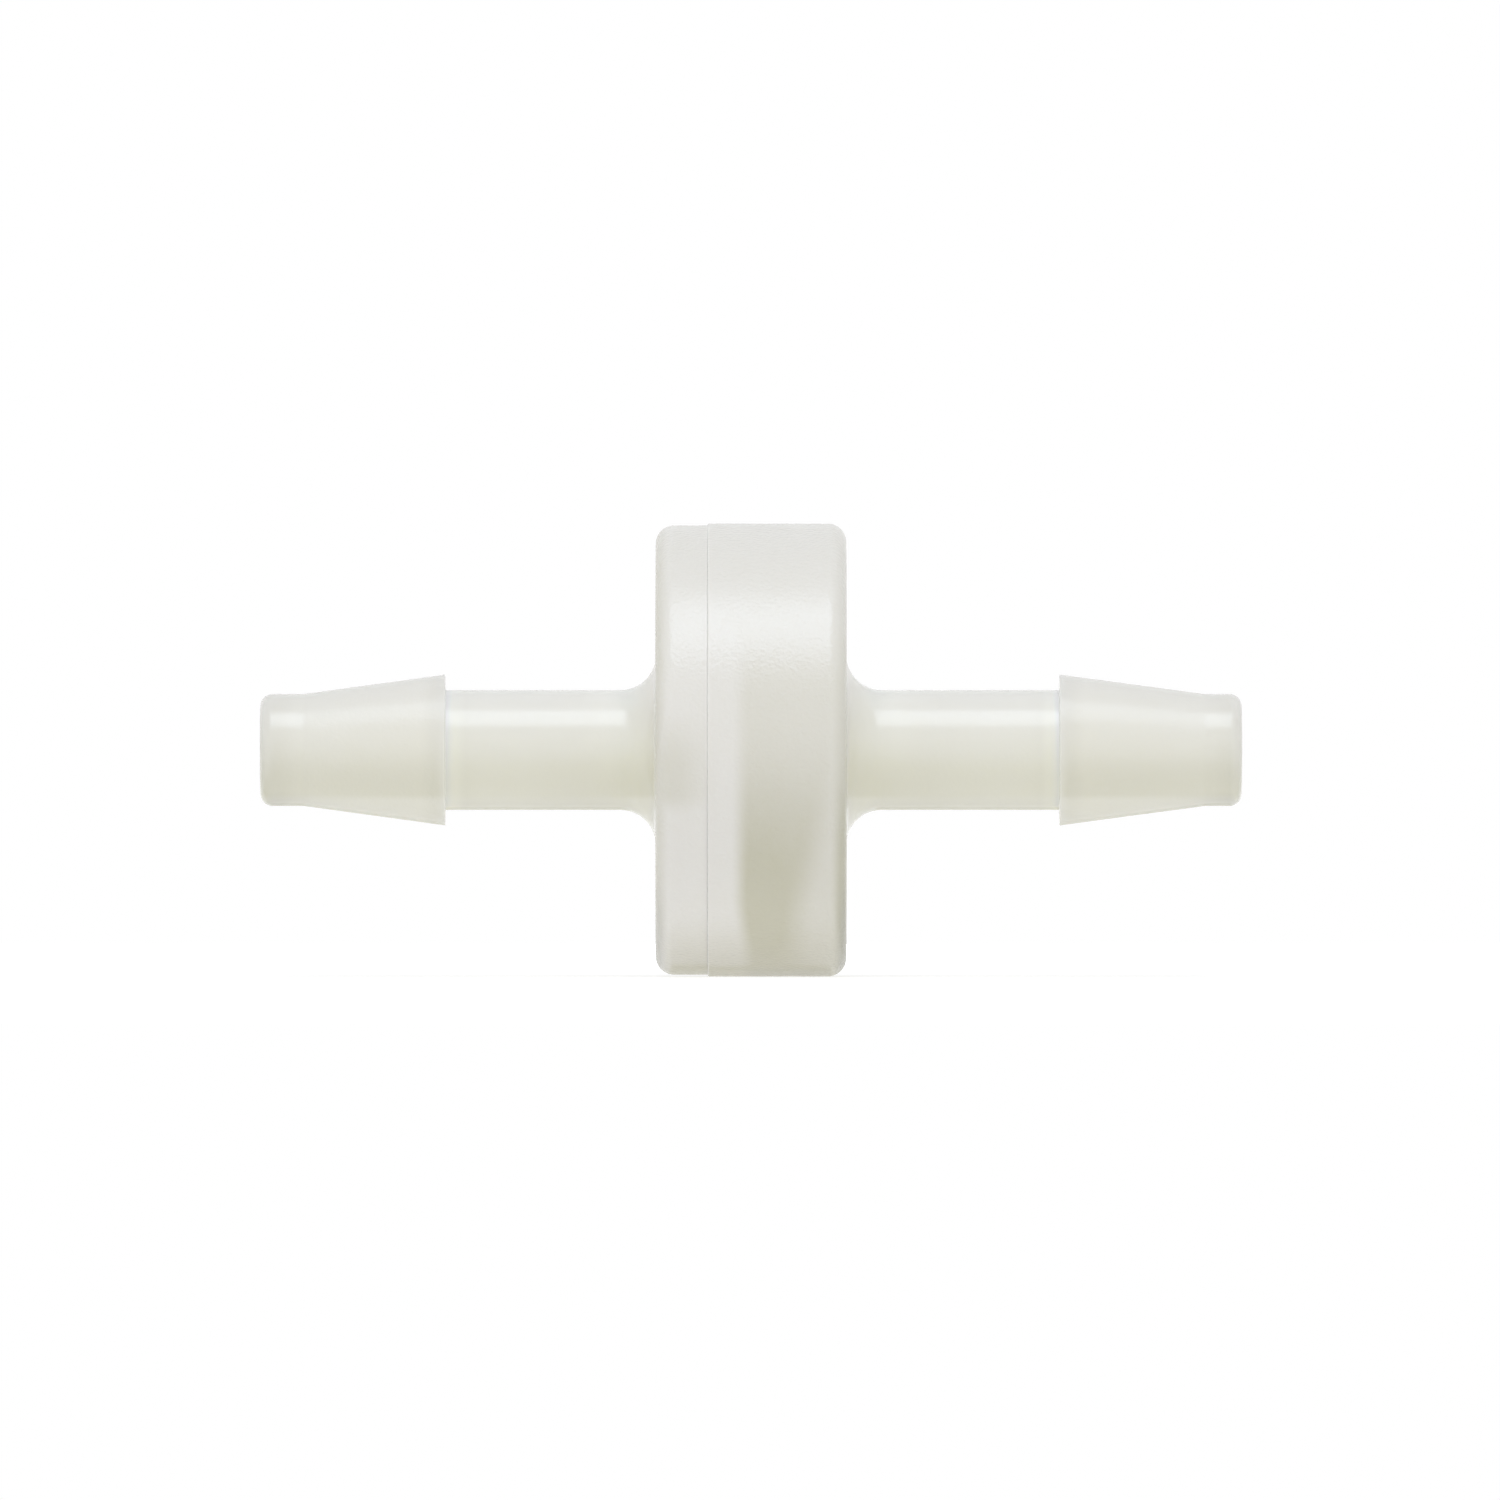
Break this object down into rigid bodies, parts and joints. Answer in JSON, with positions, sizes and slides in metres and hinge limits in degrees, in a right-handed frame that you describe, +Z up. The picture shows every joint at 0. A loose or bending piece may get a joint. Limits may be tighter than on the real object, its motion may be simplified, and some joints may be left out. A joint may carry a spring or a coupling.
{
  "type": "check valve",
  "caption": "In-line check valve: a round moulded body with a barbed hose end on each side, and a loose rubber diaphragm inside that opens for flow one way and shuts against flow back.",
  "frame": {"origin": "on the valve's axis, half way between the two flat faces of the round body", "axes": "+X along the axis in the direction of flow, from the inlet to the outlet; +Z up"},
  "size_m": [0.052, 0.024, 0.024],
  "materials": {
    "shell": "satin, milky natural resin",
    "diaphragm": "matte"
  },
  "bodies": {
    "housing": {"inlet_body": "shell", "outlet_body": "shell"},
    "disc": {"diaphragm": "diaphragm"}
  },
  "joints": [
    {"name": "diaphragm_lift", "type": "slide", "parent": "housing", "child": "disc", "axis": [1, 0, 0], "range_m": [0, 0.001]}
  ]
}
